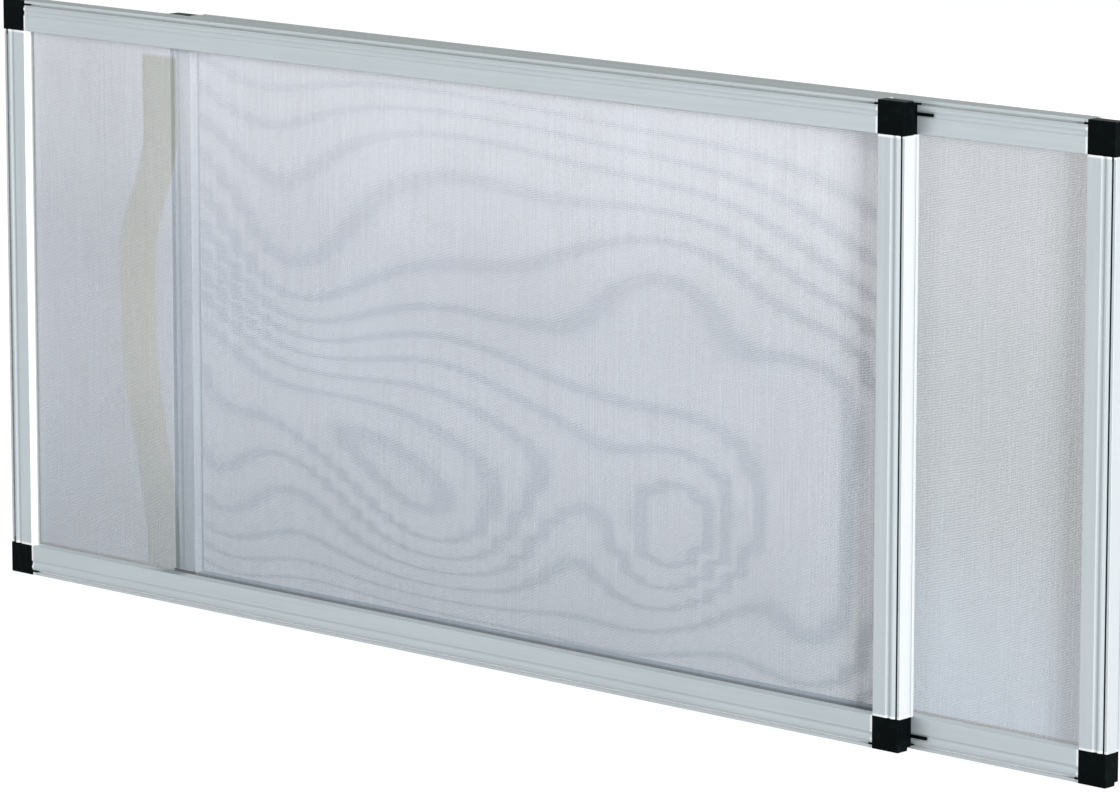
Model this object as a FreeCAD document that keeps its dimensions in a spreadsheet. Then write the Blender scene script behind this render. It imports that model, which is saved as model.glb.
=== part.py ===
"""Extending window screen: two aluminium mesh frames that slide along each other.

Millimetres, +Z up. +X runs along the screen, towards the side to which it draws out, and +Y runs
from the front of the screen to its back. The origin is the middle of the bottom, at floor level.
"""
import FreeCAD, Part
import os
import re

import Sketcher
from FreeCAD import Placement, Rotation, Vector

# Driving dimensions

DIMENSIONS = [
    ("frame_length", 1000.0, "length of each frame along X"),
    ("frame_height", 500.0, "height of each frame"),
    ("drawn_out", 185.0, "how far the rear frame stands out at rest"),
    ("frame_gap", 0.5, "air between the two frames"),
    ("face_width", 26.0, "width of the extrusion's front face"),
    ("profile_depth", 18.0, "depth of the extrusion"),
    ("web_width", 14.5, "width of the extrusion behind the mesh"),
    ("flange_depth", 10.0, "depth from the front face to the mesh"),
    ("wall", 1.1, "wall of the extrusion"),
    ("lip_drop", 1.2, "outer lip, set back from the front face"),
    ("lip_width", 2.4, "outer lip, from the edge to the hook groove"),
    ("groove_mouth", 1.8, "mouth of the hook groove"),
    ("groove_neck", 2.6, "depth of the hook groove's neck"),
    ("groove_depth", 4.8, "depth of the hook groove"),
    ("groove_undercut", 1.6, "undercut of the hook groove"),
    ("bead_width", 2.3, "sloping bead beside the hook groove"),
    ("cove_centre", 10.6, "guide cove's middle, from the outer edge"),
    ("cove_width", 5.0, "width of the guide cove"),
    ("cove_depth", 1.0, "depth of the guide cove"),
    ("side_groove_from", 12.2, "shallow side groove, from the front face"),
    ("side_groove_width", 2.6, "width of the side groove"),
    ("side_groove_depth", 0.7, "depth of the side groove"),
    ("spline_groove_width", 4.0, "width of the groove that holds the mesh"),
    ("spline_groove_depth", 5.4, "depth of the groove that holds the mesh"),
    ("spline_wall", 1.6, "wall between the mesh groove and the opening"),
    ("inner_round", 0.8, "rounding beside the opening"),
    ("outer_round", 0.5, "rounding of the outer edges"),
    ("cap_depth", 11.0, "depth of a corner block's front part"),
    ("cap_round", 1.0, "rounding of a corner block"),
    ("back_inset", 2.2, "corner block's back part, set in from its sides"),
    ("leg_length", 32.0, "leg of a corner block inside the extrusion"),
    ("leg_clearance", 0.15, "air round a leg"),
    ("leg_taper", 1.2, "chamfer at the end of a leg"),
    ("leg_slot_width", 3.0, "slot along the middle of a leg"),
    ("fin_length", 4.5, "fin of a corner block in the hook groove"),
    ("guide_clearance", 0.35, "air round a hook or a glide"),
    ("hook_lip", 1.4, "thickness of a hook's lip"),
    ("glide_width", 2.2, "width of a glide"),
    ("glide_reach", 0.5, "how far a glide reaches into the guide cove"),
    ("glide_thickness", 2.0, "thickness of a glide"),
    ("glide_nose", 13.0, "glide's nose, beyond the corner block"),
    ("mesh_thickness", 0.5, "thickness of the mesh"),
    ("mesh_hem", 4.0, "mesh folded down into its groove"),
    ("mesh_clearance", 0.4, "air between the mesh and the corner blocks"),
    ("ridge_height", 0.25, "height of a woven ridge"),
    ("ridge_width", 1.6, "width of a woven ridge"),
    ("spline_round", 1.65, "radius of the spline cord"),
    ("spline_seat", 2.1, "spline's middle, below the mesh"),
]
GAP_COLUMNS = 15
GAP_ROWS = 8
RIDGES_PER_COLUMN = 4
RIDGES_PER_ROW = 3

document = FreeCAD.newDocument("extending_window_screen")
sheet = document.addObject("Spreadsheet::Sheet", "Sizes")
for row, (alias, size, meaning) in enumerate(DIMENSIONS, start=1):
    sheet.set(f"A{row}", meaning)
    sheet.set(f"B{row}", str(size))
    sheet.setAlias(f"B{row}", alias)
document.recompute()

ALIASES = {alias for alias, _, _ in DIMENSIONS}


def formula(words):
    """Turn a formula in dimension names into one that reads the sheet."""
    return re.sub(r"[a-z_]+", lambda name: f"Sizes.{name[0]}" if name[0] in ALIASES else name[0], words)


def number(words):
    """Work out a formula in dimension names."""
    return float(sheet.evalExpression(formula(words)))


# Places worked out from the driving dimensions

FRONT_LEFT = "-(frame_length + drawn_out) / 2"
REAR_LEFT = "-(frame_length + drawn_out) / 2 + drawn_out"
FRONT_FACE = "-profile_depth - frame_gap / 2"
REAR_FACE = "frame_gap / 2"
GROOVE_FAR = "lip_width + groove_mouth"
BEAD_END = "lip_width + groove_mouth + bead_width"
COVE_START = "cove_centre - cove_width / 2"
COVE_END = "cove_centre + cove_width / 2"
COVE_RADIUS = "(cove_width^2 / 4 + cove_depth^2) / (2 * cove_depth)"
SPLINE_INNER = "face_width - spline_wall"
SPLINE_OUTER = "face_width - spline_wall - spline_groove_width"
SPLINE_FLOOR = "flange_depth - spline_groove_depth"
CHAMBER_NEAR = "wall + side_groove_depth"
CHAMBER_FAR = "web_width - wall"
CHAMBER_STEP = "lip_width + groove_mouth + groove_undercut + wall"
CHAMBER_FRONT = "groove_depth + wall"
CHAMBER_BACK = "profile_depth - groove_depth - wall"

X_DIRECTION = Vector(1, 0, 0)
Y_DIRECTION = Vector(0, 1, 0)
Z_DIRECTION = Vector(0, 0, 1)


# Sketch helpers

def new_body(label):
    """Start a body whose label is the name of the sub-part."""
    body = document.addObject("PartDesign::Body", label)
    body.Label = label
    return body


def new_sketch(body, name, depth="0"):
    """Add a sketch on the body's XY plane, raised to a depth."""
    sketch = body.newObject("Sketcher::SketchObject", name)
    plane = next(item for item in body.Origin.OriginFeatures if item.Role == "XY_Plane")
    sketch.AttachmentSupport = [(plane, "")]
    sketch.MapMode = "FlatFace"
    sketch.setExpression("AttachmentOffset.Base.z", formula(depth))
    return sketch


def pin_point(sketch, edge, end, point):
    """Tie one end of a sketch edge to its two formulas."""
    for kind, words in zip(("DistanceX", "DistanceY"), point):
        index = sketch.addConstraint(Sketcher.Constraint(kind, -1, 1, edge, end, number(words)))
        sketch.setExpression(f"Constraints[{index}]", formula(words))


def add_outline(sketch, corners):
    """Draw a closed outline.

    A corner is a pair of formulas. The edge that leaves it is straight, or an arc where the corner
    has a third entry: the point halfway along the arc and the formula of its radius.
    """
    first = sketch.GeometryCount
    spots = [Vector(number(corner[0]), number(corner[1]), 0) for corner in corners]
    for index, corner in enumerate(corners):
        start = spots[index]
        end = spots[(index + 1) % len(corners)]
        if len(corner) == 2:
            sketch.addGeometry(Part.LineSegment(start, end), False)
            continue
        middle_x, middle_y = corner[2][0]
        middle = Vector(number(middle_x), number(middle_y), 0)
        if (middle - start).cross(end - middle).z < 0:
            start, end = end, start
        sketch.addGeometry(Part.Arc(start, middle, end), False)
    starts = []
    for index, spot in enumerate(spots):
        edge = sketch.Geometry[first + index]
        starts.append(1 if edge.StartPoint.distanceToPoint(spot) < 1e-6 else 2)
    for index, corner in enumerate(corners):
        before = (index - 1) % len(corners)
        sketch.addConstraint(Sketcher.Constraint(
            "Coincident", first + before, 3 - starts[before], first + index, starts[index]))
        pin_point(sketch, first + index, starts[index], corner[:2])
        if len(corner) == 3:
            radius = corner[2][1]
            row = sketch.addConstraint(Sketcher.Constraint("Radius", first + index, number(radius)))
            sketch.setExpression(f"Constraints[{row}]", formula(radius))


def rectangle(low, high):
    """Give the corners of a rectangle from two opposite ones."""
    return [(low[0], low[1]), (high[0], low[1]), (high[0], high[1]), (low[0], high[1])]


def pad(body, sketch, length):
    """Raise a sketch into a solid."""
    feature = body.newObject("PartDesign::Pad", f"{sketch.Name}_pad")
    feature.Profile = sketch
    feature.setExpression("Length", formula(length))
    document.recompute()
    return feature


def pad_block(body, name, low, high, bottom, top):
    """Raise a plain block between two corners and two depths."""
    sketch = new_sketch(body, name, bottom)
    add_outline(sketch, rectangle(low, high))
    return pad(body, sketch, f"({top}) - ({bottom})")


def edges_through(shape, spots, direction):
    """Name the straight edges along a direction that pass through one of the spots."""
    names = []
    for index, edge in enumerate(shape.Edges, start=1):
        if not isinstance(edge.Curve, Part.Line) or abs(edge.Curve.Direction.dot(direction)) < 0.999:
            continue
        middle = edge.valueAt((edge.FirstParameter + edge.LastParameter) / 2)
        for spot in spots:
            offset = middle - spot
            if (offset - direction * offset.dot(direction)).Length < 1e-4:
                names.append(f"Edge{index}")
    return names


def round_edges(body, spots, direction, radius):
    """Round the body's edges that pass through the spots."""
    base = body.Tip
    feature = body.newObject("PartDesign::Fillet", f"{body.Name}_round")
    feature.Base = (base, edges_through(base.Shape, spots, direction))
    feature.setExpression("Radius", formula(radius))
    document.recompute()
    return feature


def place(piece, turn, corner):
    """Set a piece down: its axes turned, and its origin at three formulas."""
    piece.Placement = Placement(Vector(0, 0, 0), turn)
    for axis, words in zip("xyz", corner):
        piece.setExpression(f"Placement.Base.{axis}", formula(words))


# The extrusion. Its section is drawn from the outer edge towards the mesh and from the front face
# towards the back.

SECTION = [
    ("0", "lip_drop"),
    ("lip_width", "lip_drop"),
    ("lip_width", "groove_depth"),
    (f"{GROOVE_FAR} + groove_undercut", "groove_depth"),
    (f"{GROOVE_FAR} + groove_undercut", "groove_neck"),
    (GROOVE_FAR, "groove_neck"),
    (GROOVE_FAR, "lip_drop"),
    (BEAD_END, "0"),
    (COVE_START, "0", (("cove_centre", "cove_depth"), COVE_RADIUS)),
    (COVE_END, "0"),
    ("face_width", "0"),
    ("face_width", "flange_depth"),
    (SPLINE_INNER, "flange_depth"),
    (SPLINE_INNER, SPLINE_FLOOR),
    (SPLINE_OUTER, SPLINE_FLOOR),
    (SPLINE_OUTER, "flange_depth"),
    ("web_width", "flange_depth"),
    ("web_width", "profile_depth"),
    (COVE_END, "profile_depth", (("cove_centre", "profile_depth - cove_depth"), COVE_RADIUS)),
    (COVE_START, "profile_depth"),
    (GROOVE_FAR, "profile_depth"),
    (GROOVE_FAR, "profile_depth - groove_neck"),
    (f"{GROOVE_FAR} + groove_undercut", "profile_depth - groove_neck"),
    (f"{GROOVE_FAR} + groove_undercut", "profile_depth - groove_depth"),
    ("lip_width", "profile_depth - groove_depth"),
    ("lip_width", "profile_depth"),
    ("0", "profile_depth"),
    ("0", "side_groove_from + side_groove_width"),
    ("side_groove_depth", "side_groove_from + side_groove_width"),
    ("side_groove_depth", "side_groove_from"),
    ("0", "side_groove_from"),
]

CHAMBERS = [
    [
        (CHAMBER_NEAR, CHAMBER_FRONT),
        (CHAMBER_STEP, CHAMBER_FRONT),
        (CHAMBER_STEP, "cove_depth + wall"),
        (CHAMBER_FAR, "cove_depth + wall"),
        (CHAMBER_FAR, "profile_depth - cove_depth - wall"),
        (CHAMBER_STEP, "profile_depth - cove_depth - wall"),
        (CHAMBER_STEP, CHAMBER_BACK),
        (CHAMBER_NEAR, CHAMBER_BACK),
    ],
    rectangle(("web_width", "wall"), (f"{SPLINE_OUTER} - wall", "flange_depth - wall")),
    rectangle((SPLINE_OUTER, "wall"), (SPLINE_INNER, f"{SPLINE_FLOOR} - wall")),
]


def make_member(label, length, turn, corner):
    """Make one length of the extrusion, cut square."""
    body = new_body(label)
    section = new_sketch(body, f"{label}_section")
    add_outline(section, SECTION)
    for chamber in CHAMBERS:
        add_outline(section, chamber)
    pad(body, section, length)
    face_width = number("face_width")
    round_edges(body, [Vector(face_width, 0, 0)], Z_DIRECTION, "inner_round")
    outer_spots = [
        Vector(0, number("lip_drop"), 0),
        Vector(0, number("profile_depth"), 0),
        Vector(number(BEAD_END), 0, 0),
    ]
    round_edges(body, outer_spots, Z_DIRECTION, "outer_round")
    place(body, turn, corner)
    return body


# The corner blocks. A block is drawn from its outer corner: x along one member, y along the other
# and z from the front face towards the back.

def add_leg(body, name, along_x):
    """Add the leg that goes into the chamber of one member."""
    near = f"{CHAMBER_NEAR} + leg_clearance"
    far = f"{CHAMBER_FAR} - leg_clearance"
    start = "face_width - wall"
    end = "face_width + leg_length"
    low, high = ((start, near), (end, far)) if along_x else ((near, start), (far, end))
    front = f"{CHAMBER_FRONT} + leg_clearance"
    back = f"{CHAMBER_BACK} - leg_clearance"
    leg = pad_block(body, name, low, high, front, back)
    tip = number(end)
    names = []
    for index, edge in enumerate(leg.Shape.Edges, start=1):
        box = edge.BoundBox
        reach = (box.XMin, box.XMax) if along_x else (box.YMin, box.YMax)
        if abs(reach[0] - tip) < 1e-4 and abs(reach[1] - tip) < 1e-4:
            names.append(f"Edge{index}")
    taper = body.newObject("PartDesign::Chamfer", f"{name}_taper")
    taper.Base = (leg, names)
    taper.setExpression("Size", formula("leg_taper"))
    document.recompute()
    slot = new_sketch(body, f"{name}_slot", CHAMBER_FRONT)
    side_low = f"({near} + {far}) / 2 - leg_slot_width / 2"
    side_high = f"({near} + {far}) / 2 + leg_slot_width / 2"
    slot_start = "face_width + 2 * wall"
    slot_end = f"{end} + wall"
    if along_x:
        add_outline(slot, rectangle((slot_start, side_low), (slot_end, side_high)))
    else:
        add_outline(slot, rectangle((side_low, slot_start), (side_high, slot_end)))
    pocket = body.newObject("PartDesign::Pocket", f"{name}_slot_pocket")
    pocket.Profile = slot
    pocket.Reversed = True
    pocket.setExpression("Length", formula(f"({CHAMBER_BACK}) - ({CHAMBER_FRONT})"))
    document.recompute()


def add_fin(body, name, along_x):
    """Add the thin fin that closes the end of a member's hook groove."""
    near = "lip_width + leg_clearance"
    far = f"{GROOVE_FAR} - leg_clearance"
    start = "face_width - wall"
    end = "face_width + fin_length"
    low, high = ((start, near), (end, far)) if along_x else ((near, start), (far, end))
    pad_block(body, name, low, high, "lip_drop + leg_clearance", "groove_depth - leg_clearance")


def add_guide(body, name, along_x, backward):
    """Add the hook and the glide that run in the other frame's rail."""
    if backward:
        base = "profile_depth - wall"
        neck_end = "profile_depth + frame_gap + groove_neck + guide_clearance"
        hook_end = f"{neck_end} + hook_lip"
        glide_start = "profile_depth + frame_gap + glide_reach - glide_thickness"
        glide_end = "profile_depth + frame_gap + glide_reach"
        spans = [(base, hook_end), (neck_end, hook_end), (glide_start, glide_end)]
    else:
        base = "wall"
        neck_end = "-frame_gap - groove_neck - guide_clearance"
        hook_end = f"{neck_end} - hook_lip"
        glide_start = "-frame_gap - glide_reach"
        glide_end = "-frame_gap - glide_reach + glide_thickness"
        spans = [(hook_end, base), (hook_end, neck_end), (glide_start, glide_end)]
    sides = [
        ("lip_width + guide_clearance", f"{GROOVE_FAR} - guide_clearance"),
        ("lip_width + guide_clearance", f"{GROOVE_FAR} + groove_undercut - guide_clearance"),
        ("cove_centre - glide_width / 2", "cove_centre + glide_width / 2"),
    ]
    starts = ["back_inset", "back_inset", "-glide_nose"]
    kinds = ["hook_neck", "hook_lip", "glide"]
    for kind, (bottom, top), (near, far), start in zip(kinds, spans, sides, starts):
        low, high = ((start, near), ("face_width", far))
        if not along_x:
            low, high = (low[1], low[0]), (high[1], high[0])
        pad_block(body, f"{name}_{kind}", low, high, bottom, top)


def make_corner(label, turn, corner, guide=None):
    """Make one corner block. The guide is a pair: along x, and backward."""
    body = new_body(label)
    pad_block(body, f"{label}_cap", ("0", "0"), ("face_width", "face_width"), "0", "cap_depth")
    round_edges(body, [Vector(0, 0, 0)], Z_DIRECTION, "cap_round")
    rounded = body.Tip
    front = []
    for index, edge in enumerate(rounded.Shape.Edges, start=1):
        box = edge.BoundBox
        on_outside = box.XMax < number("cap_round") + 1e-4 or box.YMax < number("cap_round") + 1e-4
        if box.ZMax < 1e-4 and on_outside:
            front.append(f"Edge{index}")
    bevel = body.newObject("PartDesign::Chamfer", f"{label}_bevel")
    bevel.Base = (rounded, front)
    bevel.setExpression("Size", formula("cap_round / 2"))
    document.recompute()
    back = new_sketch(body, f"{label}_back", "cap_depth")
    add_outline(back, [
        ("back_inset", "back_inset"),
        ("face_width", "back_inset"),
        ("face_width", "web_width"),
        ("web_width", "web_width"),
        ("web_width", "face_width"),
        ("back_inset", "face_width"),
    ])
    pad(body, back, "profile_depth - cap_depth")
    for along_x in (True, False):
        axis = "x" if along_x else "y"
        add_leg(body, f"{label}_leg_{axis}", along_x)
        add_fin(body, f"{label}_fin_{axis}", along_x)
    if guide:
        add_guide(body, label, *guide)
    place(body, turn, corner)
    return body


# The splines

def make_spline(label, length, turn, corner):
    """Make one length of the cord that holds the mesh in its groove."""
    body = new_body(label)
    section = new_sketch(body, f"{label}_section")
    across = f"{SPLINE_OUTER} + spline_round"
    down = "flange_depth - spline_seat"
    centre = Vector(number(across), number(down), 0)
    section.addGeometry(Part.Circle(centre, Z_DIRECTION, number("spline_round")), False)
    pin_point(section, 0, 3, (across, down))
    radius = section.addConstraint(Sketcher.Constraint("Radius", 0, number("spline_round")))
    section.setExpression(f"Constraints[{radius}]", formula("spline_round"))
    pad(body, section, length)
    place(body, turn, corner)
    return body


# The mesh: one thin wall with upright ridges in front, level ridges behind and small gaps between
# them, folded down into the grooves of the four members.

def box_between(low, high):
    """Make a plain block between two corners."""
    return Part.makeBox(high.x - low.x, high.y - low.y, high.z - low.z, low)


def evenly(start, end, count):
    """Give the edges of equal steps between two values."""
    return [start + (end - start) * step / count for step in range(count + 1)]


def make_mesh_shape():
    """Make the mesh of one frame, drawn from the frame's lower left front corner."""
    length = number("frame_length")
    height = number("frame_height")
    front = number("flange_depth")
    back = number("flange_depth + mesh_thickness")
    edge = number(f"{SPLINE_INNER} - mesh_thickness")
    inner = number(SPLINE_INNER)
    shy = number("face_width + mesh_clearance")
    hem = number("flange_depth - mesh_hem")
    rise = number("ridge_height")
    half = number("ridge_width / 2")
    columns = evenly(shy, length - shy, GAP_COLUMNS * RIDGES_PER_COLUMN)
    rows = evenly(shy, height - shy, GAP_ROWS * RIDGES_PER_ROW)

    outline = [Vector(shy, back, shy), Vector(shy, front, shy)]
    for x in columns[1:-1]:
        outline += [
            Vector(x - half, front, shy),
            Vector(x - half, front - rise, shy),
            Vector(x + half, front - rise, shy),
            Vector(x + half, front, shy),
        ]
    outline += [Vector(length - shy, front, shy), Vector(length - shy, back, shy)]
    face = Part.Face(Part.makePolygon(outline + outline[:1]))
    wall = face.extrude(Vector(0, 0, height - 2 * shy))
    gaps = []
    for column in range(GAP_COLUMNS):
        middle = column * RIDGES_PER_COLUMN + RIDGES_PER_COLUMN // 2
        for row in range(GAP_ROWS):
            level = row * RIDGES_PER_ROW + RIDGES_PER_ROW // 2
            gaps.append(box_between(
                Vector(columns[middle] + 2 * half, front - rise, rows[level] + 2 * half),
                Vector(columns[middle + 1] - 2 * half, back + rise, rows[level + 1] - 2 * half)))
    wall = wall.cut(Part.makeCompound(gaps))
    level_ridges = [
        box_between(Vector(shy, back, z - half), Vector(length - shy, back + rise, z + half))
        for z in rows[1:-1]
    ]
    borders = [
        box_between(Vector(edge, front, shy), Vector(shy, back, height - shy)),
        box_between(Vector(length - shy, front, shy), Vector(length - edge, back, height - shy)),
        box_between(Vector(shy, front, edge), Vector(length - shy, back, shy)),
        box_between(Vector(shy, front, height - shy), Vector(length - shy, back, height - edge)),
    ]
    hems = [
        box_between(Vector(edge, hem, shy), Vector(inner, front, height - shy)),
        box_between(Vector(length - inner, hem, shy), Vector(length - edge, front, height - shy)),
        box_between(Vector(shy, hem, edge), Vector(length - shy, front, inner)),
        box_between(Vector(shy, hem, height - inner), Vector(length - shy, front, height - edge)),
    ]
    return wall.multiFuse(borders + hems + level_ridges).Solids[0]


def add_mesh(label, shape, corner):
    """Set the mesh of one frame in its place."""
    mesh = document.addObject("Part::Feature", label)
    mesh.Label = label
    mesh.Shape = shape
    place(mesh, Rotation(), corner)
    return mesh


# The two frames

def turned(x_axis, y_axis):
    """Give the rotation that takes the drawing's x and y to two directions of the screen."""
    return Rotation(x_axis, y_axis, x_axis.cross(y_axis), "XYZ")


def make_frame(name, left, face, guides):
    """Make the pieces of one frame. Guides gives the hooked blocks' side and direction."""
    right = f"{left} + frame_length"
    top = "frame_height"
    clear_length = "frame_length - 2 * face_width"
    clear_height = "frame_height - 2 * face_width"
    sides = {
        "top": (clear_length, -Z_DIRECTION, (f"{left} + face_width", face, top)),
        "bottom": (clear_length, Z_DIRECTION, (f"{right} - face_width", face, "0")),
        "left": (clear_height, X_DIRECTION, (left, face, "face_width")),
        "right": (clear_height, -X_DIRECTION, (right, face, f"{top} - face_width")),
    }
    pieces = []
    for side, (length, inward, corner) in sides.items():
        kind = "rail" if side in ("top", "bottom") else "stile"
        turn = turned(inward, Y_DIRECTION)
        pieces.append(make_member(f"{name}_{side}_{kind}", length, turn, corner))
        pieces.append(make_spline(f"{name}_{side}_spline", length, turn, corner))
    corners = {
        "upper_left": (X_DIRECTION, -Z_DIRECTION, (left, face, top)),
        "upper_right": (-Z_DIRECTION, -X_DIRECTION, (right, face, top)),
        "lower_left": (Z_DIRECTION, X_DIRECTION, (left, face, "0")),
        "lower_right": (-X_DIRECTION, Z_DIRECTION, (right, face, "0")),
    }
    guide_side, backward = guides
    for where, (x_axis, y_axis, corner) in corners.items():
        along_x = abs(x_axis.x) > 0.5
        guide = (along_x, backward) if where.endswith(guide_side) else None
        pieces.append(make_corner(f"{name}_{where}_corner", turned(x_axis, y_axis), corner, guide))
    pieces.append(add_mesh(f"{name}_mesh", MESH_SHAPE, (left, face, "0")))
    return pieces


MESH_SHAPE = make_mesh_shape()
subparts = make_frame("front", FRONT_LEFT, FRONT_FACE, ("right", True))
subparts += make_frame("rear", REAR_LEFT, REAR_FACE, ("left", False))
document.recompute()

# Checks and export

for item in document.Objects:
    if "Invalid" in item.State or "Error" in item.State:
        raise RuntimeError(f"{item.Label} failed: {item.State}")
for piece in subparts:
    shape = piece.Shape
    if shape.isNull() or not shape.isValid() or len(shape.Solids) != 1:
        raise RuntimeError(f"{piece.Label} is not one valid solid")

os.makedirs("parts", exist_ok=True)
for piece in subparts:
    piece.Shape.exportStep(f"parts/{piece.Label}.step")
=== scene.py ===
"""Looks of the extending window screen: satin aluminium, black corner blocks and a woven mesh.

Everything is in metres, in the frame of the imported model: X along the screen, Y from its front to
its back, Z up from the floor.
"""

import enum
import logging
import math
from dataclasses import dataclass, field, replace

import bmesh
import bpy
import numpy as np
from mathutils import Euler, Matrix, Vector


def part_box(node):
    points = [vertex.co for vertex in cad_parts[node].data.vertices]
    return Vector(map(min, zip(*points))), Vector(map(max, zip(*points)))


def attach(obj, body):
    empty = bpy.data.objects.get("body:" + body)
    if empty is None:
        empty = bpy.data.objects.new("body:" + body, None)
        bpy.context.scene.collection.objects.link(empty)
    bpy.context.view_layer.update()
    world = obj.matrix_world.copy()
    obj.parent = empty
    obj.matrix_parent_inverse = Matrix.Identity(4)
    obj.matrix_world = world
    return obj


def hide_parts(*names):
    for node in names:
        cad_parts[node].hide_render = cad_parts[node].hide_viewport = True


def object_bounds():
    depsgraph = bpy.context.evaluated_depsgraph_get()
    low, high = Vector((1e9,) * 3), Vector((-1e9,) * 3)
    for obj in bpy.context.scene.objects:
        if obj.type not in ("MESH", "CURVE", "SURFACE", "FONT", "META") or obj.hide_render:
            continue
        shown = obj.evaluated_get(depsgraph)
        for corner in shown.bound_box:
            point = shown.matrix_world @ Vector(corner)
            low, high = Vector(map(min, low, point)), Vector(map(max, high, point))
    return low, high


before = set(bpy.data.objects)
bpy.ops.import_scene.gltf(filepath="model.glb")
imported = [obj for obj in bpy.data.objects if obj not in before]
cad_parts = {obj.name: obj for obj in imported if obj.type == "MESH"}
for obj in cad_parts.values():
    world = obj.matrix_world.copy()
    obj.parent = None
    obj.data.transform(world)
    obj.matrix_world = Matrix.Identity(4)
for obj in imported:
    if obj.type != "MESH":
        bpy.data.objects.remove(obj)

LOG = logging.getLogger("window_screen")
CAD_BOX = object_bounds()
MM = 0.001
FRAME_LENGTH = 1.0
FRAME_HEIGHT = 0.5
DRAWN_OUT = 0.185
FACE_WIDTH = 26 * MM
MESH_DEPTH = 10 * MM

Colour = tuple[float, float, float]


class Run(enum.Enum):
    """The way in which a length of extrusion runs."""

    LEVEL = "level"
    UPRIGHT = "upright"


class NodeTree:
    """A material's nodes, added and joined by short calls."""

    def __init__(self, name: str) -> None:
        """Start a material that has a shader and nothing else.

        Args:
            name: The material's name.
        """
        self.material = bpy.data.materials.new(name)
        self.material.use_nodes = True
        self.tree = self.material.node_tree
        self.shader = self.tree.nodes["Principled BSDF"]

    def add(self, kind: str, **settings: object) -> bpy.types.Node:
        """Add one node.

        Args:
            kind: The node's type name, without its ShaderNode prefix.
            settings: The node's own settings.

        Returns:
            The new node.
        """
        node = self.tree.nodes.new(f"ShaderNode{kind}")
        for name, value in settings.items():
            setattr(node, name, value)
        return node

    def put(self, socket: bpy.types.NodeSocket, value: object) -> None:
        """Give a socket its value, or join it to the socket that is handed over."""
        if isinstance(value, bpy.types.NodeSocket):
            self.tree.links.new(value, socket)
        else:
            socket.default_value = value

    def maths(self, operation: str, *values: object, clamp: bool = False) -> bpy.types.NodeSocket:
        """Work out one step of arithmetic.

        Args:
            operation: The step's name.
            values: Numbers or sockets that it works on.
            clamp: Keep the result between 0 and 1.

        Returns:
            The socket with the result.
        """
        node = self.add("Math", operation=operation, use_clamp=clamp)
        for socket, value in zip(node.inputs, values):
            self.put(socket, value)
        return node.outputs[0]

    def between(self, value: object, low: float, high: float, blur: float) -> bpy.types.NodeSocket:
        """Give 1 where a value lies between two limits and 0 outside them.

        Args:
            value: The socket that is tested.
            low: The lower limit.
            high: The upper limit.
            blur: Width of the step at each limit.

        Returns:
            The socket with the mask.
        """
        rise = self.ramp(value, low - blur, low + blur, 0.0, 1.0)
        fall = self.ramp(value, high - blur, high + blur, 1.0, 0.0)
        return self.maths("MULTIPLY", rise, fall)

    def ramp(self, value: object, low: float, high: float, first: float,
             last: float) -> bpy.types.NodeSocket:
        """Map a value from one range to another.

        Args:
            value: The socket that is mapped.
            low: Start of the value's range.
            high: End of the value's range.
            first: The result at the start.
            last: The result at the end.

        Returns:
            The socket with the result.
        """
        node = self.add("MapRange", interpolation_type="SMOOTHSTEP")
        for socket, given in zip(node.inputs, (value, low, high, first, last)):
            self.put(socket, given)
        return node.outputs[0]

    def noise(self, place: bpy.types.NodeSocket, scale: float, detail: float = 3.0,
              rough: float = 0.5) -> bpy.types.NodeSocket:
        """Add a soft noise.

        Args:
            place: Where the noise is read.
            scale: How fine it is.
            detail: How many finer layers it has.
            rough: How strong the finer layers are.

        Returns:
            The socket with values around one half.
        """
        node = self.add("TexNoise")
        self.put(node.inputs["Vector"], place)
        self.put(node.inputs["Scale"], scale)
        self.put(node.inputs["Detail"], detail)
        self.put(node.inputs["Roughness"], rough)
        return node.outputs[0]

    def mapped(self, place: bpy.types.NodeSocket, scale: tuple[float, float, float],
               turn: tuple[float, float, float] = (0.0, 0.0, 0.0)) -> bpy.types.NodeSocket:
        """Stretch and turn the place where a pattern is read."""
        node = self.add("Mapping")
        self.put(node.inputs["Vector"], place)
        self.put(node.inputs["Rotation"], turn)
        self.put(node.inputs["Scale"], scale)
        return node.outputs[0]

    def blend(self, share: object, first: object, second: object) -> bpy.types.NodeSocket:
        """Blend two colours.

        Args:
            share: How much of the second colour there is.
            first: The first colour, or its socket.
            second: The second colour, or its socket.

        Returns:
            The socket with the blended colour.
        """
        node = self.add("Mix", data_type="RGBA", clamp_factor=True)
        self.put(node.inputs["Factor"], share)
        for name, colour in (("A", first), ("B", second)):
            socket = next(s for s in node.inputs if s.name == name and s.type == "RGBA")
            self.put(socket, colour if isinstance(colour, bpy.types.NodeSocket) else (*colour, 1.0))
        return next(s for s in node.outputs if s.type == "RGBA")

    def bump(self, height: bpy.types.NodeSocket, depth: float,
             under: bpy.types.NodeSocket | None = None) -> bpy.types.NodeSocket:
        """Raise a pattern in the surface.

        Args:
            height: The pattern.
            depth: How far it rises, in metres.
            under: A bump that lies under this one.

        Returns:
            The socket with the bent normal.
        """
        node = self.add("Bump")
        self.put(node.inputs["Height"], height)
        self.put(node.inputs["Distance"], depth)
        if under is not None:
            self.put(node.inputs["Normal"], under)
        return node.outputs[0]

    def place(self) -> bpy.types.NodeSocket:
        """Give the place on the object."""
        return self.add("TexCoord").outputs["Object"]

    def axes(self, place: bpy.types.NodeSocket) -> list[bpy.types.NodeSocket]:
        """Split a place into its X, Y and Z."""
        node = self.add("SeparateXYZ")
        self.put(node.inputs[0], place)
        return list(node.outputs)


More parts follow.
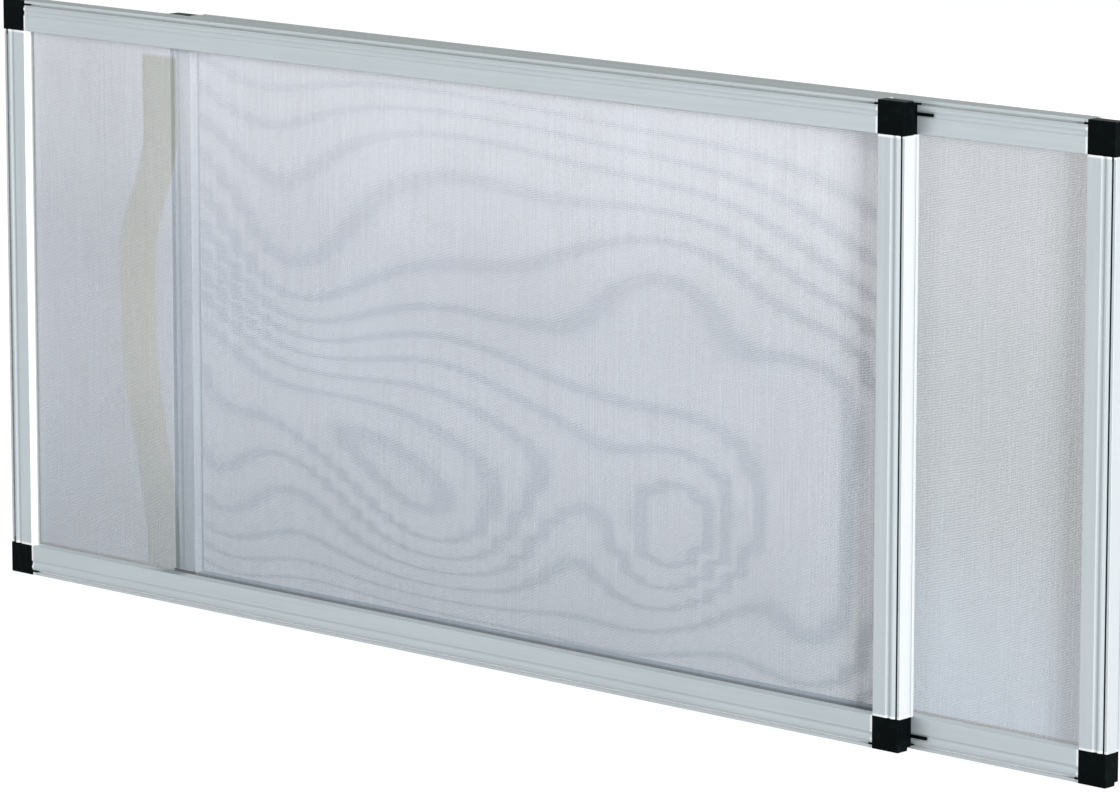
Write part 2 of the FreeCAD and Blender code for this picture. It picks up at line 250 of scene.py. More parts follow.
@dataclass(frozen=True)
class SatinAluminium:
    """Anodised aluminium, drawn and lightly brushed along its length, with painted light and shade on
    its ends, in its grooves and on its tops and narrow sides.
    """

    colour: Colour = (0.505, 0.555, 0.575)
    dull: Colour = (0.455, 0.505, 0.525)
    # Painted highlight: pale, on the ends by the corner blocks, in the bottom rails' grooves and on the
    # inner sides in front of the mesh.
    painted_highlight: Colour = (0.88, 0.89, 0.90)
    # Painted light: paler than the metal, in the grooves of the left-hand stiles and the top rails.
    shaded: Colour = (0.66, 0.70, 0.71)
    # Painted shade: on the tops of the top rails and on the inner sides behind the mesh.
    painted_shade: Colour = (0.36, 0.39, 0.385)
    # Colour painted on the outer narrow sides of the stiles. The front frame sets it paler, as painted
    # light.
    side: Colour = (0.50, 0.53, 0.55)
    # Painted shade: near black, in the grooves of the right-hand stiles.
    painted_groove_shade: Colour = (0.05, 0.058, 0.062)
    # Painted light: on the front face of the rear frame's left stile, seen through the front mesh.
    painted_light_behind_mesh: Colour | None = None
    metallic: float = 0.25
    specular: float = 0.0
    roughness: float = 0.5

    def material(self, name: str, run: Run, middle: float, face: float) -> bpy.types.Material:
        """Make the finish of one frame's rails or stiles.

        Args:
            name: The material's name.
            run: The way in which the lengths run.
            middle: The middle of the frame along X.
            face: The front face of the frame along Y.

        Returns:
            The material.
        """
        nodes = NodeTree(name)
        place = nodes.place()
        x, y, z = nodes.axes(place)
        along_x = nodes.maths("SUBTRACT", FRAME_LENGTH / 2, nodes.maths(
            "ABSOLUTE", nodes.maths("SUBTRACT", x, middle)))
        along_z = nodes.maths("SUBTRACT", FRAME_HEIGHT / 2, nodes.maths(
            "ABSOLUTE", nodes.maths("SUBTRACT", z, FRAME_HEIGHT / 2)))
        across, along = (along_z, along_x) if run is Run.LEVEL else (along_x, along_z)
        depth = nodes.maths("SUBTRACT", y, face)

        stretch = (1.0, 60.0, 60.0) if run is Run.LEVEL else (60.0, 60.0, 1.0)
        brushed = nodes.noise(nodes.mapped(place, stretch), 40.0, 4.0, 0.65)
        drawn = nodes.noise(nodes.mapped(place, stretch), 7.0, 2.0)
        cloud = nodes.noise(place, 9.0, 3.0)
        tone = nodes.ramp(nodes.maths("ADD", nodes.maths("MULTIPLY", drawn, 0.6),
                                      nodes.maths("MULTIPLY", cloud, 0.4)), 0.36, 0.66, 0.0, 1.0)
        colour = nodes.blend(nodes.maths("MULTIPLY", tone, 0.55), self.colour, self.dull)

        # Painted highlight: a pale strip on each length next to the corner blocks stands in for a
        # brightly lit edge.
        end_highlight = nodes.ramp(along, FACE_WIDTH + 1.0 * MM, FACE_WIDTH + 2.6 * MM, 1.0, 0.0)
        colour = nodes.blend(nodes.maths("MULTIPLY", end_highlight, 0.8), colour, self.painted_highlight)
        # Painted light and shade in the grooves near the outer edge, at the front and the back:
        # near-black painted shade in the right-hand stiles, paler painted light in the left-hand stiles
        # and the top rails, and the pale painted highlight in the bottom rails.
        inside = nodes.between(across, 2.3 * MM, 5.9 * MM, 0.05 * MM)
        front = nodes.between(depth, 1.5 * MM, 5.0 * MM, 0.2 * MM)
        back = nodes.between(depth, 13.0 * MM, 16.7 * MM, 0.2 * MM)
        shade = nodes.maths("MULTIPLY", inside, nodes.maths("MAXIMUM", front, back))
        if run is Run.UPRIGHT:
            half = nodes.ramp(x, middle - 0.1, middle + 0.1, 0.0, 1.0)
            inner = nodes.blend(half, self.shaded, self.painted_groove_shade)
        else:
            inner = nodes.blend(nodes.ramp(z, 0.2, 0.3, 0.0, 1.0), self.painted_highlight, self.shaded)
        colour = nodes.blend(shade, colour, inner)
        facing = nodes.add("NewGeometry").outputs["Normal"]
        right, _, up = nodes.axes(facing)
        if run is Run.LEVEL:
            # Painted shade: the upward faces of the top rails are painted a darker grey, as little
            # light falls on them from above.
            topside = nodes.maths("MULTIPLY", nodes.ramp(up, 0.7, 0.95, 0.0, 1.0),
                                  nodes.ramp(z, 0.49, 0.495, 0.0, 1.0))
            colour = nodes.blend(topside, colour, self.painted_shade)
        else:
            # Painted light: the outer narrow sides of the stiles take their own colour, which the front
            # frame sets paler where the light from the right falls on them.
            side = nodes.ramp(nodes.maths("ABSOLUTE", right), 0.7, 0.95, 0.0, 1.0)
            outer_side = nodes.maths("MULTIPLY", side, nodes.ramp(
                across, 0.5 * MM, 1.0 * MM, 1.0, 0.0))
            colour = nodes.blend(outer_side, colour, self.side)
            # Painted light and shade on the inner narrow sides of the stiles: the pale painted
            # highlight in front of the mesh and the darker painted shade behind it.
            inner_side = nodes.maths("MULTIPLY", side, nodes.ramp(
                across, 23 * MM, 24 * MM, 0.0, 1.0))
            by_mesh = nodes.ramp(depth, 7.0 * MM, 8.5 * MM, 0.0, 1.0)
            colour = nodes.blend(inner_side, colour, nodes.blend(by_mesh, self.painted_highlight, self.painted_shade))
            # Painted light: on the rear frame the front face of the left stile is painted much paler,
            # so that it shows bright through the front mesh.
            if self.painted_light_behind_mesh is not None:
                kept = nodes.maths("MULTIPLY", nodes.ramp(depth, 0.1 * MM, 0.4 * MM, 1.0, 0.0),
                                   nodes.maths("SUBTRACT", 1.0, half))
                colour = nodes.blend(kept, colour, self.painted_light_behind_mesh)
        nodes.put(nodes.shader.inputs["Base Color"], colour)
        nodes.put(nodes.shader.inputs["Metallic"], self.metallic)
        nodes.put(nodes.shader.inputs["Specular IOR Level"], self.specular)
        rough = nodes.ramp(brushed, 0.25, 0.75, self.roughness - 0.07, self.roughness + 0.09)
        nodes.put(nodes.shader.inputs["Roughness"], rough)
        nodes.put(nodes.shader.inputs["Normal"],
                  nodes.bump(brushed, 0.03 * MM, nodes.bump(cloud, 0.25 * MM)))
        return nodes.material


@dataclass(frozen=True)
class BlackPlastic:
    """Moulded black plastic with a fine spark-eroded grain."""

    colour: Colour = (0.0015, 0.0030, 0.0032)
    worn: Colour = (0.0045, 0.0080, 0.0085)
    specular: float = 0.02
    roughness: float = 0.46

    def material(self, name: str) -> bpy.types.Material:
        """Make the finish of the corner blocks.

        Args:
            name: The material's name.

        Returns:
            The material.
        """
        nodes = NodeTree(name)
        place = nodes.place()
        grain = nodes.noise(place, 2400.0, 2.0, 0.6)
        cloud = nodes.noise(place, 90.0, 4.0, 0.6)
        rubbed = nodes.ramp(cloud, 0.52, 0.72, 0.0, 1.0)
        nodes.put(nodes.shader.inputs["Base Color"], nodes.blend(rubbed, self.colour, self.worn))
        nodes.put(nodes.shader.inputs["Specular IOR Level"], self.specular)
        nodes.put(nodes.shader.inputs["Roughness"], nodes.ramp(
            cloud, 0.3, 0.7, self.roughness - 0.06, self.roughness + 0.1))
        nodes.put(nodes.shader.inputs["Normal"],
                  nodes.bump(grain, 0.05 * MM, nodes.bump(cloud, 0.1 * MM)))
        return nodes.material


@dataclass(frozen=True)
class GreyVinyl:
    """The ribbed grey cord that holds the mesh."""

    colour: Colour = (0.16, 0.17, 0.18)
    pale: Colour = (0.24, 0.25, 0.26)
    rib: float = 1.2 * MM

    def material(self, name: str, run: Run) -> bpy.types.Material:
        """Make the finish of the level or the upright cords.

        Args:
            name: The material's name.
            run: The way in which the cords run.

        Returns:
            The material.
        """
        nodes = NodeTree(name)
        place = nodes.place()
        x, _, z = nodes.axes(place)
        along = x if run is Run.LEVEL else z
        wave = nodes.maths("SINE", nodes.maths("MULTIPLY", along, math.tau / self.rib))
        ribs = nodes.ramp(wave, -0.6, 0.6, 0.0, 1.0)
        cloud = nodes.noise(place, 60.0, 3.0)
        tone = nodes.maths("MULTIPLY", nodes.maths("ADD", ribs, cloud), 0.5)
        nodes.put(nodes.shader.inputs["Base Color"], nodes.blend(tone, self.colour, self.pale))
        nodes.put(nodes.shader.inputs["Roughness"], 0.55)
        nodes.put(nodes.shader.inputs["Normal"], nodes.bump(ribs, 0.15 * MM))
        return nodes.material


@dataclass(frozen=True)
class ScreenYarn:
    """The coated yarn of the mesh, painted darker towards the bottom as painted shade, with a painted
    shadow of the rear stile as a darker upright band on the front one and a painted dark line along the
    frame's edges.
    """

    # Painted shade: colours from the top down to the bottom, darker towards the bottom.
    upper: Colour = (0.455, 0.475, 0.525)
    middle: Colour = (0.312, 0.345, 0.400)
    lower: Colour = (0.22, 0.255, 0.298)
    # Painted shadow of the rear stile on the front mesh, above and at the bottom.
    band: Colour = (0.30, 0.318, 0.300)
    band_low: Colour = (0.145, 0.178, 0.192)
    # Painted shade along the inner edges of the frame.
    painted_edge_shade: Colour = (0.12, 0.13, 0.14)
    # Painted shade: share of brightness left of the rear frame.
    single: float = 0.86
    roughness: float = 0.5

    def material(self, name: str, left: float, band_at: float | None,
                 lift: float) -> bpy.types.Material:
        """Make the finish of one set of yarns.

        Args:
            name: The material's name.
            left: The left end of the frame along X.
            band_at: The place along X at which the darker band of painted shadow ends, or None for no
                band.
            lift: How much paler than the yarn's own colour the set is painted, as painted light.

        Returns:
            The material.
        """
        nodes = NodeTree(name)
        place = nodes.place()
        x, _, z = nodes.axes(place)
        # Painted shade: the yarn is painted darker towards the bottom, where less light falls on the
        # mesh.
        colour = nodes.blend(nodes.ramp(z, 0.02, 0.24, 0.0, 1.0), self.lower, self.middle)
        colour = nodes.blend(nodes.ramp(z, 0.26, 0.48, 0.0, 1.0), colour, self.upper)
        # Painted shadow: a darker, greener wavy band on the front mesh along the rear frame's left
        # stile, where that stile's shadow falls on the waving cloth.
        if band_at is not None:
            bow = nodes.maths("MULTIPLY", nodes.ramp(z, 0.290, 0.400, 1.0, 0.0),
                              nodes.ramp(z, 0.03, 0.24, 0.0, 1.0))
            start = nodes.maths("MULTIPLY_ADD", bow, -0.032, band_at - 0.023)
            end = nodes.maths("MULTIPLY_ADD", bow, -0.028, band_at + 0.018)
            inside = nodes.maths("MULTIPLY", self.step_up(nodes, x, start),
                                 self.step_up(nodes, end, x))
            inside = nodes.maths("MULTIPLY", inside, nodes.ramp(z, 0.463, 0.467, 1.0, 0.0))
            band = nodes.blend(nodes.ramp(z, 0.02, 0.24, 0.0, 1.0), self.band_low, self.band)
            colour = nodes.blend(inside, colour, band)
        # Painted shade: a dark line on the yarns along the inner edges of the frame, where the mesh
        # meets the rails and stiles.
        inset = nodes.maths("SUBTRACT", FRAME_LENGTH / 2, nodes.maths(
            "ABSOLUTE", nodes.maths("SUBTRACT", x, left + FRAME_LENGTH / 2)))
        rim = nodes.maths("MAXIMUM", nodes.ramp(
            inset, FACE_WIDTH + 0.8 * MM, FACE_WIDTH + 2.4 * MM, 1.0, 0.0), nodes.ramp(
            z, FACE_WIDTH + 1.6 * MM, FACE_WIDTH + 3.4 * MM, 1.0, 0.0))
        colour = nodes.blend(rim, colour, self.painted_edge_shade)
        cloud = nodes.noise(place, 5.0, 3.0, 0.6)
        streak = nodes.noise(nodes.mapped(place, (60.0, 1.0, 3.0)), 5.0, 3.0, 0.6)
        speck = nodes.noise(place, 420.0, 2.0, 0.6)
        tone = nodes.maths("ADD", nodes.maths("MULTIPLY", cloud, 0.35), nodes.maths(
            "ADD", nodes.maths("MULTIPLY", streak, 0.40), nodes.maths("MULTIPLY", speck, 0.25)))
        value = nodes.ramp(tone, 0.35, 0.65, 0.90 * lift, 1.10 * lift)
        # Painted shade: on the front mesh the yarns left of the rear frame, with no second mesh behind
        # them, are painted darker.
        if band_at is not None:
            value = nodes.maths("MULTIPLY", value, nodes.ramp(
                x, band_at - 0.03, band_at + 0.015, self.single, 1.0))
        # The value carries the random tone together with the painted light of the level yarns and the
        # painted shade left of the rear frame.
        worn = nodes.add("HueSaturation")
        nodes.put(worn.inputs["Color"], colour)
        nodes.put(worn.inputs["Value"], value)
        nodes.put(nodes.shader.inputs["Base Color"], worn.outputs[0])
        nodes.put(nodes.shader.inputs["Roughness"], self.roughness)
        return nodes.material

    def step_up(self, nodes: NodeTree, value: object, edge: object) -> bpy.types.NodeSocket:
        """Give 1 where a value lies past an edge and 0 before it, with a soft edge."""
        return nodes.ramp(nodes.maths("SUBTRACT", value, edge), -1.5 * MM, 1.5 * MM, 0.0, 1.0)


@dataclass(frozen=True)
class Pull:
    """A place where the level yarns of the rear mesh are pulled off their straight line."""

    amount: float
    x: float
    z: float
    reach_x: float
    reach_z: float
    turn: float

    def at(self, x: np.ndarray, z: np.ndarray) -> np.ndarray:
        """Give how many spacings the yarns are moved at some places.

        Args:
            x: The places along X, in metres.
            z: Their heights, in metres.

        Returns:
            The number of spacings.
        """
        right, up = x * 10 - self.x, z * 10 - self.z
        u = right * math.cos(self.turn) + up * math.sin(self.turn)
        w = up * math.cos(self.turn) - right * math.sin(self.turn)
        return self.amount * np.exp(-0.5 * ((u / self.reach_x) ** 2 + (w / self.reach_z) ** 2))


@dataclass(frozen=True)
class Weave:
    """How the level yarns of the rear mesh lie against those of the front mesh."""

    eye: Vector
    front_plane: float
    start: float = -4.757
    per_x: float = 2.80
    per_z: float = 5.79
    middle: float = 3.0
    sharp: float = 0.11
    plain_from: float = 0.40
    plain_to: float = 0.50
    pulls: tuple[Pull, ...] = (
        Pull(9.000, -0.430, 0.592, 4.000, 0.805, -0.065),
        Pull(4.339, 1.807, 3.295, 1.030, 0.545, 0.194),
        Pull(2.667, -3.180, 2.320, 2.236, 0.358, -0.435),
        Pull(6.499, -3.882, 2.424, 0.674, 1.852, 0.176),
        Pull(-2.304, 0.083, 4.810, 0.300, 1.763, -1.605),
        Pull(7.009, 3.430, 1.835, 1.039, 0.738, 1.358),
        Pull(7.012, -1.188, 3.550, 2.579, 1.183, 0.146),
        Pull(7.687, -1.294, 2.056, 0.609, 1.623, -1.450),
        Pull(4.607, 0.843, 1.868, 0.481, 2.242, -1.204),
        Pull(6.587, 1.786, 1.447, 0.659, 0.459, 0.492),
    )

    def spacings(self, x: np.ndarray, z: np.ndarray, plane: float) -> np.ndarray:
        """Give how many spacings the rear yarns stand off the front ones.

        Args:
            x: Places along X, in metres.
            z: Their heights, in metres.
            plane: The plane of the rear mesh along Y.

        Returns:
            The number of spacings, in soft steps where the two meshes overlap.
        """
        seen = (self.eye.y - self.front_plane) / (self.eye.y - plane)
        right = self.eye.x + (x - self.eye.x) * seen
        up = self.eye.z + (z - self.eye.z) * seen
        level = self.start + self.per_x * right + self.per_z * up
        for pull in self.pulls:
            level = level + pull.at(right, up)
        whole = np.round(level)
        half = 0.5 * np.tanh((level - whole) / self.sharp) / math.tanh(0.5 / self.sharp)
        plain = np.clip((right - self.plain_from) / (self.plain_to - self.plain_from), 0.0, 1.0)
        stepped = whole + half
        return self.middle - (stepped + (level - stepped) * plain)


@dataclass(frozen=True)
class YarnSet:
    """Yarns that lie side by side and run the same way."""

    run: Run
    yarn: float
    spacing: float
    phase: float = 0.0
    pieces: int = 1
    stray: float = 0.0

    def behind(self, seen: float, eye_at: float, step: float, pieces: int) -> "YarnSet":
        """Give the set that these yarns hide from the camera, on a plane further back.

        Args:
            seen: The further plane's distance from the camera, over this one's.
            eye_at: The camera's place across the yarns.
            step: How far the further yarns stand off, in spacings.
            pieces: How many straight pieces a further yarn has over the opening.

        Returns:
            The further set.
        """
        spacing = self.spacing * seen
        phase = eye_at * (1 - seen) + self.phase * seen + step * spacing
        return replace(self, spacing=spacing, phase=phase, pieces=pieces)


@dataclass
class YarnPanel:
    """One mesh of real yarns, stretched over a frame and folded into its grooves."""

    name: str
    left: float
    face: float
    uprights: YarnSet
    levels: YarnSet
    hem: float = 3.6 * MM
    edge: float = 24.3 * MM
    guard: float = 1.0 * MM
    weave: Weave | None = None

    @property
    def plane(self) -> float:
        """The plane of the cloth along Y."""
        return self.face + MESH_DEPTH

    @property
    def span_x(self) -> tuple[float, float]:
        """The lowest and highest X of the flat part."""
        return self.left + self.edge, self.left + FRAME_LENGTH - self.edge

    @property
    def span_z(self) -> tuple[float, float]:
        """The lowest and highest Z of the flat part."""
        return self.edge, FRAME_HEIGHT - self.edge

    def size(self) -> tuple[float, float]:
        """Give the flat size of the cloth with its hems."""
        across = FRAME_LENGTH - 2 * self.edge + 2 * self.hem
        return across, FRAME_HEIGHT - 2 * self.edge + 2 * self.hem

    def build(self) -> bpy.types.Object:
        """Weave the panel.

        Returns:
            The panel, in its place.
        """
        shape = bmesh.new()
        uprights = self.lay(shape, self.uprights, self.span_x, self.span_z)
        first_face = len(shape.faces)
        levels = self.lay(shape, self.levels, self.span_z, self.span_x)
        mesh = bpy.data.meshes.new(self.name)
        shape.to_mesh(mesh)
        shape.free()
        self.settle(mesh, uprights, levels)
        order = np.arange(len(mesh.polygons))
        mesh.polygons.foreach_set("use_smooth", np.ones(len(order), dtype=bool))
        mesh.polygons.foreach_set("material_index", (order >= first_face).astype(np.int32))
        panel = bpy.data.objects.new(self.name, mesh)
        panel.visible_shadow = False
        bpy.context.scene.collection.objects.link(panel)
        return panel

    def pulled(self, x: np.ndarray, z: np.ndarray) -> np.ndarray:
        """Give how far the level yarns are pulled up at some places, in metres."""
        if self.weave is None:
            return np.zeros(len(x))
        return self.weave.spacings(x, z, self.plane) * self.levels.spacing

    def single(self, yarns: YarnSet, length: float) -> bpy.types.Mesh:
        """Make one yarn, standing upright or lying level around the origin.

        Args:
            yarns: The set that it belongs to.
            length: Its length over the opening, without the hems.

        Returns:
            The yarn's mesh.
        """
        yarn = bmesh.new()
        radius = yarns.yarn / math.sqrt(3)
        bmesh.ops.create_cone(yarn, cap_ends=True, segments=3, radius1=radius, radius2=radius,
                              depth=length + 2 * self.hem)
        inner = length / 2 - self.guard
        for place in (-length / 2, -inner, inner, length / 2):
            bmesh.ops.bisect_plane(yarn, geom=yarn.verts[:] + yarn.edges[:] + yarn.faces[:],
                                   plane_co=(0, 0, place), plane_no=(0, 0, 1))
        if yarns.pieces > 1:
            long_edges = [e for e in yarn.edges if abs(e.calc_length() - 2 * inner) < 1e-6]
            bmesh.ops.subdivide_edges(yarn, edges=long_edges, cuts=yarns.pieces - 1,
                                      use_grid_fill=True)
        turn = Matrix.Rotation(math.radians(-90), 4, "Z")
        if yarns.run is Run.LEVEL:
            turn = Matrix.Rotation(math.radians(90), 4, "Y") @ Matrix.Rotation(math.radians(90), 4, "Z")
        bmesh.ops.transform(yarn, matrix=turn, verts=yarn.verts)
        mesh = bpy.data.meshes.new("yarn")
        yarn.to_mesh(mesh)
        yarn.free()
        return mesh

    def lay(self, shape: bmesh.types.BMesh, yarns: YarnSet, across: tuple[float, float],
            along: tuple[float, float]) -> np.ndarray:
        """Add the yarns of one set, all around the origin, and work out where each goes.

        Args:
            shape: The mesh that takes them.
            yarns: The set.
            across: Lowest and highest place across the yarns.
            along: Start and end of the yarns along their run, without the hems.

        Returns:
            How far each point of the set is moved to where its yarn lies.
        """
        source = self.single(yarns, along[1] - along[0])
        middle = (along[0] + along[1]) / 2
        level = yarns.run is Run.LEVEL
        spare = 12 if level and self.weave else 0
        stray = np.random.default_rng(11).uniform(-yarns.stray, yarns.stray, 4001)
        first = math.ceil((across[0] - yarns.phase) / yarns.spacing) - spare
        last = math.floor((across[1] - yarns.phase) / yarns.spacing) + spare
        samples = np.linspace(along[0], along[1], 81)
        places = []
        for index in range(first, last + 1):
            place = yarns.phase + (index + stray[index + 2000]) * yarns.spacing
            if level:
                heights = place + self.pulled(samples, np.full(len(samples), place))
                if heights.max() < across[0] - self.hem or heights.min() > across[1] + self.hem:
                    continue
            shape.from_mesh(source)
            places.append((middle, -yarns.yarn / 4, place) if level else (
                place, yarns.yarn / 4, middle))
        moves = np.repeat(np.array(places), len(source.vertices), axis=0)
        bpy.data.meshes.remove(source)
        return moves

    def settle(self, mesh: bpy.types.Mesh, uprights: np.ndarray, levels: np.ndarray) -> None:
        """Move the yarns into place, pull the level ones off their lines and fold the hems down.

        Args:
            mesh: The yarns, all around the origin.
            uprights: How far the points of the upright yarns are moved.
            levels: How far the points of the level yarns are moved, which come after them.
        """
        first_level = len(uprights)
        points = np.empty(len(mesh.vertices) * 3)
        mesh.vertices.foreach_get("co", points)
        points = points.reshape(-1, 3) + np.concatenate((uprights, levels))
        points[first_level:, 2] += self.pulled(points[first_level:, 0], points[first_level:, 2])
        down = np.zeros(len(points))
        for axis, (low, high) in ((0, self.span_x), (2, self.span_z)):
            for limit, over in ((low, low - points[:, axis]), (high, points[:, axis] - high)):
                out = over > 0
                down[out] = np.maximum(down[out], np.minimum(over[out], self.hem))
                points[out, axis] = limit
        points[:, 1] += self.plane - down
        mesh.vertices.foreach_set("co", points.ravel())
        mesh.update()


@dataclass
class ScreenFrame:
    """One sliding frame: its rails, stiles, corner blocks, cords and mesh."""

    name: str
    left: float
    face: float
    panel: YarnPanel
    band_at: float | None = None
    metal: SatinAluminium = field(default_factory=SatinAluminium)
    plastic: BlackPlastic = field(default_factory=BlackPlastic)
    vinyl: GreyVinyl = field(default_factory=GreyVinyl)
    yarn: ScreenYarn = field(default_factory=ScreenYarn)

    def dress(self) -> None:
        """Give every CAD piece of the frame its finish."""
        middle = self.left + FRAME_LENGTH / 2
        metals = {run: self.metal.material(f"{self.name}_aluminium_{run.value}", run, middle, self.face)
                  for run in Run}
        cords = {run: self.vinyl.material(f"{self.name}_cord_{run.value}", run) for run in Run}
        black = self.plastic.material(f"{self.name}_black_plastic")
        for side in ("top", "bottom", "left", "right"):
            run = Run.LEVEL if side in ("top", "bottom") else Run.UPRIGHT
            kind = "rail" if run is Run.LEVEL else "stile"
            self.cover(f"{self.name}_{side}_{kind}", metals[run])
            self.cover(f"{self.name}_{side}_spline", cords[run])
        for height in ("upper", "lower"):
            for side in ("left", "right"):
                self.cover(f"{self.name}_{height}_{side}_corner", black)

    def cover(self, node: str, material: bpy.types.Material) -> None:
        """Put a finish on one CAD piece.

        Args:
            node: The piece's name.
            material: Its finish.
        """
        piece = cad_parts[node]
        piece.data.materials.clear()
        piece.data.materials.append(material)
        LOG.info("dressed %s", node)

    def hang_mesh(self) -> None:
        """Weave the mesh and set it in the place of its CAD wall."""
        panel = self.panel.build()
        # Painted light: the level yarns are painted paler than the upright ones, as they catch less of
        # the light from the right.
        for run, lift in ((Run.UPRIGHT, 1.0), (Run.LEVEL, 1.35)):
            name = f"{self.name}_yarn_{run.value}"
            panel.data.materials.append(self.yarn.material(name, self.left, self.band_at, lift))
        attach(panel, f"{self.name}_frame")
        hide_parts(f"{self.name}_mesh")
        self.panel.size()
        LOG.info("wove %s with %d faces", panel.name, len(panel.data.polygons))


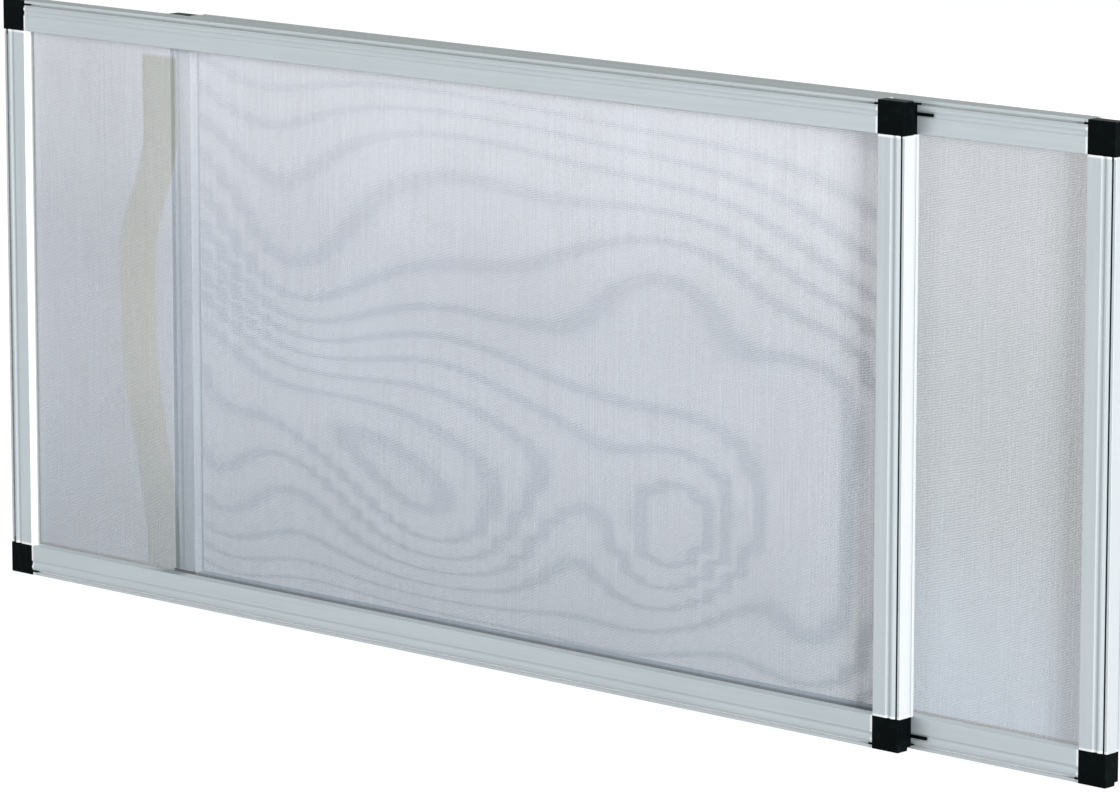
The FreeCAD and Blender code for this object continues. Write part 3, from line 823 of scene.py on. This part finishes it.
@dataclass
class Studio:
    """The floor, the lamps and the camera."""

    eye: Vector = field(default_factory=lambda: Vector((3.3421, -3.5682, 1.1075)))
    yaw: float = 42.783
    pitch: float = -10.238
    lens: float = 199.27

    def build(self) -> None:
        """Set up everything that isn't part of the screen."""
        self.add_camera()
        self.add_floor()
        self.add_world()
        self.add_lamp("key_right", (11.47, -3.50, 1.4), (0.0, 0.0, 0.25), 2.8, 1660.0)
        self.add_lamp("fill_front", (-1.2, -3.2, 1.2), (0.0, 0.0, 0.25), 2.2, 30.0)
        self.add_lamp("fill_back", (0.0, 3.4, 1.6), (0.0, 0.0, 0.25), 2.2, 145.0)
        settings = bpy.context.scene.view_settings
        settings.view_transform = "Standard"
        LOG.info("set up the studio")

    def add_camera(self) -> None:
        """Put the camera where the photograph was taken."""
        data = bpy.data.cameras.new("camera")
        data.lens = self.lens
        data.sensor_width = 36.0
        data.clip_end = 100.0
        camera = bpy.data.objects.new("camera", data)
        bpy.context.scene.collection.objects.link(camera)
        camera.location = self.eye
        camera.rotation_euler = Euler((math.radians(90 + self.pitch), 0, math.radians(self.yaw)))
        bpy.context.scene.camera = camera

    def add_lamp(self, name: str, spot: tuple[float, float, float],
                 aim: tuple[float, float, float], width: float, power: float) -> None:
        """Add one soft lamp.

        Args:
            name: The lamp's name.
            spot: Where it stands.
            aim: The point that it shines at.
            width: Its width and height.
            power: Its power in watts.
        """
        data = bpy.data.lights.new(name, "AREA")
        data.shape = "SQUARE"
        data.size = width
        data.energy = power
        lamp = bpy.data.objects.new(name, data)
        bpy.context.scene.collection.objects.link(lamp)
        lamp.location = spot
        lamp.rotation_euler = (Vector(aim) - Vector(spot)).to_track_quat("-Z", "Y").to_euler()

    def white_to_camera(self, tree: bpy.types.NodeTree, dark: bpy.types.NodeSocket,
                        light: bpy.types.NodeSocket) -> bpy.types.NodeSocket:
        """Join two shaders so that the camera, gloss and glass see the second.

        Args:
            tree: The node tree.
            dark: The shader that lights the screen.
            light: The shader that is seen.

        Returns:
            The joined shader.
        """
        rays = tree.nodes.new("ShaderNodeLightPath")
        first = tree.nodes.new("ShaderNodeMath")
        first.operation = "MAXIMUM"
        tree.links.new(rays.outputs["Is Camera Ray"], first.inputs[0])
        tree.links.new(rays.outputs["Is Glossy Ray"], first.inputs[1])
        both = tree.nodes.new("ShaderNodeMath")
        both.operation = "MAXIMUM"
        tree.links.new(first.outputs[0], both.inputs[0])
        tree.links.new(rays.outputs["Is Transmission Ray"], both.inputs[1])
        mix = tree.nodes.new("ShaderNodeMixShader")
        tree.links.new(both.outputs[0], mix.inputs[0])
        tree.links.new(dark, mix.inputs[1])
        tree.links.new(light, mix.inputs[2])
        return mix.outputs[0]

    def add_floor(self) -> None:
        """Lay a plain white floor that keeps a pale shadow."""
        shape = bmesh.new()
        bmesh.ops.create_grid(shape, x_segments=1, y_segments=1, size=30.0)
        mesh = bpy.data.meshes.new("floor")
        shape.to_mesh(mesh)
        shape.free()
        floor = bpy.data.objects.new("floor", mesh)
        bpy.context.scene.collection.objects.link(floor)
        nodes = NodeTree("white_floor")
        tree = nodes.tree
        nodes.put(nodes.shader.inputs["Base Color"], (0.28, 0.28, 0.28, 1.0))
        nodes.put(nodes.shader.inputs["Roughness"], 1.0)
        nodes.put(nodes.shader.inputs["Specular IOR Level"], 0.0)
        glow = nodes.add("Emission")
        nodes.put(glow.inputs["Strength"], 0.88)
        both = nodes.add("AddShader")
        tree.links.new(nodes.shader.outputs[0], both.inputs[0])
        tree.links.new(glow.outputs[0], both.inputs[1])
        plain = nodes.add("BsdfDiffuse")
        nodes.put(plain.inputs["Color"], (0.80, 0.80, 0.80, 1.0))
        joined = self.white_to_camera(tree, plain.outputs[0], both.outputs[0])
        tree.links.new(joined, tree.nodes["Material Output"].inputs["Surface"])
        mesh.materials.append(nodes.material)

    def add_world(self) -> None:
        """Surround the screen with soft light, white where it is seen."""
        world = bpy.data.worlds.new("studio")
        bpy.context.scene.world = world
        world.use_nodes = True
        tree = world.node_tree
        soft = tree.nodes["Background"]
        soft.inputs["Color"].default_value = (0.95, 0.98, 1.0, 1.0)
        soft.inputs["Strength"].default_value = 0.36
        seen = tree.nodes.new("ShaderNodeBackground")
        seen.inputs["Color"].default_value = (1.0, 1.0, 1.0, 1.0)
        joined = self.white_to_camera(tree, soft.outputs[0], seen.outputs[0])
        tree.links.new(joined, tree.nodes["World Output"].inputs["Surface"])


def main() -> None:
    """Build the two frames, dress them and set up the studio."""
    logging.basicConfig(level=logging.INFO, format="%(name)s: %(message)s")
    studio = Studio()
    front_left, rear_left = CAD_BOX[0].x, CAD_BOX[0].x + DRAWN_OUT
    front_face, rear_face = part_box("front_top_rail")[0].y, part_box("rear_top_rail")[0].y
    uprights = YarnSet(Run.UPRIGHT, 0.43 * MM, 0.8 * MM, pieces=6, stray=0.03)
    levels = YarnSet(Run.LEVEL, 0.30 * MM, 1.2 * MM, pieces=24)
    front_panel = YarnPanel("front_mesh_yarns", front_left, front_face, uprights, levels)
    front_plane, rear_plane = front_panel.plane, rear_face + MESH_DEPTH
    seen = (studio.eye.y - rear_plane) / (studio.eye.y - front_plane)
    rear_panel = YarnPanel("rear_mesh_yarns", rear_left, rear_face,
                           uprights.behind(seen, studio.eye.x, 0.0, 4),
                           levels.behind(seen, studio.eye.z, 0.5, 54),
                           weave=Weave(studio.eye, front_plane))
    frames = [
        # The front frame's outer stile sides are painted paler, as painted light.
        ScreenFrame("front", front_left, front_face, front_panel, band_at=rear_left,
                    metal=SatinAluminium(side=(0.66, 0.68, 0.69))),
        # The rear frame's left stile face is painted pale as painted light, and its yarn takes its own
        # colours, darker above and paler below, as painted light and shade.
        ScreenFrame("rear", rear_left, rear_face, rear_panel,
                    metal=SatinAluminium(painted_light_behind_mesh=(0.86, 0.86, 0.82)),
                    yarn=ScreenYarn((0.30, 0.32, 0.35), (0.24, 0.275, 0.298), (0.27, 0.32, 0.38))),
    ]
    for screen_frame in frames:
        screen_frame.dress()
        screen_frame.hang_mesh()
    studio.build()
    bpy.context.view_layer.update()


if __name__ == "__main__":
    main()
